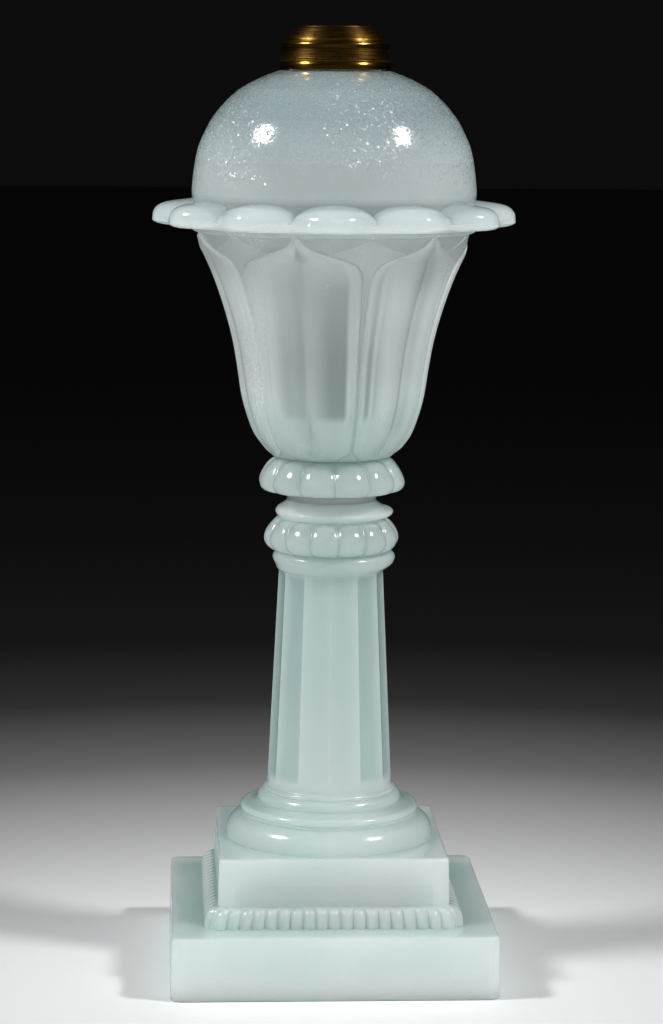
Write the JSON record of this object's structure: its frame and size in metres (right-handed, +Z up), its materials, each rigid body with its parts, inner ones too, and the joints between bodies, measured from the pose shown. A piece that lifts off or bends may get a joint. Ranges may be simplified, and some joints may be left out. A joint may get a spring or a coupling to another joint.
{
  "type": "whale oil lamp",
  "caption": "Pressed glass whale oil lamp: square plinth, fluted column, leaf-wrapped font with scalloped flange and domed top, brass collar.",
  "frame": {"origin": "centre of the underside of the square plinth, on the surface the lamp stands on", "axes": "+Z up along the lamp's axis, -Y towards the front face of the plinth, +X to the right seen from the front"},
  "size_m": [0.1166, 0.1166, 0.3048],
  "materials": {
    "base_glass": "milky pale green, polished",
    "font_glass": "milky grey, fine sandy surface",
    "plaster": "matt, dusty",
    "brass": "tarnished"
  },
  "bodies": {
    "root": {"base": "base_glass", "wafer": "base_glass", "font": "font_glass", "collar_cement": "plaster", "collar": "brass"}
  },
  "joints": []
}
